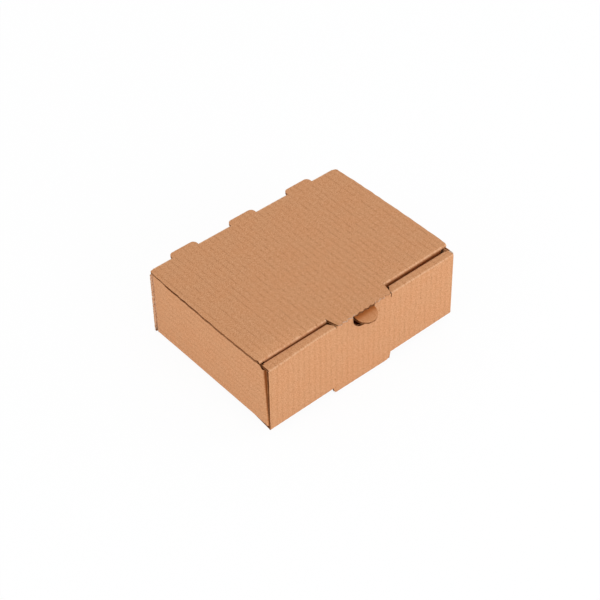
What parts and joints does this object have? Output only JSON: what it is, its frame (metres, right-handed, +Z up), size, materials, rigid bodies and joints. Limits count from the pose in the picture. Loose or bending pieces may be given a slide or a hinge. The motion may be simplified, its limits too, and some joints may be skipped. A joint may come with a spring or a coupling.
{
  "type": "french fry box",
  "caption": "Shallow folded takeaway box of plain brown micro-flute board with a hinged tuck-in lid, steam vents along the back edge, a front closing tab and a thumb notch.",
  "frame": {"origin": "middle of the base panel's underside, with the lid closed", "axes": "+X along the front from the picture's left to its right, +Y from the front with the thumb notch to the hinge at the back, +Z up"},
  "size_m": [0.123, 0.099, 0.044],
  "materials": {
    "kraft_board": "matte uncoated brown kraft liner with fine flute lines"
  },
  "bodies": {
    "tray": {"tray": "kraft_board"},
    "lid": {"lid": "kraft_board"}
  },
  "joints": [
    {"name": "lid_hinge", "type": "hinge", "parent": "tray", "child": "lid", "pos_m": [0, 0.04375, 0.03915], "axis": [-1, 0, 0], "range_deg": [0, 180]}
  ]
}
